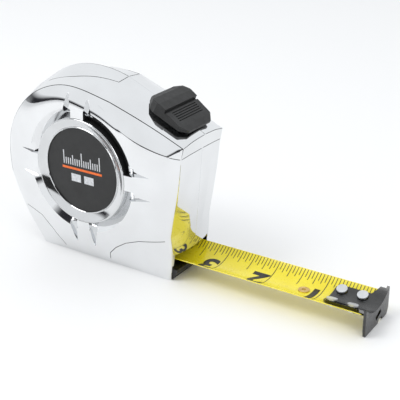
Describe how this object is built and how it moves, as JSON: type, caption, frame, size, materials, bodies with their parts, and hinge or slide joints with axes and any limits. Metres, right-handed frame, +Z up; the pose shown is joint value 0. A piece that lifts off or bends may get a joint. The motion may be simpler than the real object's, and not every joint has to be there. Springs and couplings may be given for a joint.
{
  "type": "power-return tape measure",
  "caption": "Chrome-cased retractable tape measure with a sliding blade lock, cupped yellow blade drawn out a little, true-zero end hook and belt clip.",
  "frame": {"origin": "centre of the flat base of the case, on the surface that it stands on", "axes": "+X the way the blade comes out of the mouth, +Z up, -Y towards the side that carries the front label"},
  "size_m": [0.1857, 0.0471, 0.0913],
  "materials": {
    "chrome_case": "polished",
    "chrome_ring": "polished",
    "black_label": "satin",
    "black_plastic": "matte",
    "guide_plastic": "matte",
    "zinc_steel": "satin",
    "spring_steel": "satin",
    "hook_steel": "gunmetal",
    "rivet_steel": "satin",
    "yellow_blade": "satin",
    "brass": "satin",
    "reel_plastic": "matte",
    "brake_rubber": "matte"
  },
  "bodies": {
    "case": {"case_shell_left": "chrome_case", "case_shell_right": "chrome_case", "dial_ring_left": "chrome_ring", "dial_ring_right": "chrome_ring", "label_disc_left": "black_label", "label_disc_right": "black_label", "case_screws": "zinc_steel", "mouth_bumper": "black_plastic", "blade_guide": "guide_plastic", "centre_post": "zinc_steel", "detent_spring": "spring_steel", "clip_foot": "spring_steel", "clip_screw": "zinc_steel"},
    "reel": {"reel_drum": "reel_plastic", "reel_flange_left": "reel_plastic", "reel_flange_right": "reel_plastic", "blade_coil": "yellow_blade", "mainspring": "spring_steel"},
    "blade": {"blade_front": "yellow_blade", "blade_run": "yellow_blade", "blade_eyelet": "brass", "hook_rivets": "rivet_steel"},
    "end_hook": {"hook": "hook_steel"},
    "lock": {"lock_button": "black_plastic", "lock_slider": "black_plastic", "brake_arm": "black_plastic", "brake_toe": "brake_rubber"},
    "clip": {"clip_leaf": "spring_steel"}
  },
  "joints": [
    {"name": "reel_spin", "type": "hinge", "parent": "case", "child": "reel", "pos_m": [-0.007, 0, 0.046], "axis": [0, 1, 0], "range_deg": [0, 144.9]},
    {"name": "blade_slide", "type": "slide", "parent": "case", "child": "blade", "axis": [1, 0, 0], "range_m": [-0.086, 0], "deforming": ["blade_run"]},
    {"name": "hook_float", "type": "slide", "parent": "blade", "child": "end_hook", "axis": [1, 0, 0], "range_m": [-0.0008, 0.0008]},
    {"name": "lock_slide", "type": "slide", "parent": "case", "child": "lock", "axis": [0.8979, 0, -0.4402], "range_m": [-0.006, 0]},
    {"name": "clip_flex", "type": "hinge", "parent": "case", "child": "clip", "pos_m": [-0.007, 0.0209, 0.0625], "axis": [1, 0, 0], "range_deg": [0, 6], "stiffness_Nm_per_rad": 1.2}
  ],
  "couplings": [
    {"joint": "blade_slide", "follows": "reel_spin", "m_per_rad": -0.034}
  ]
}
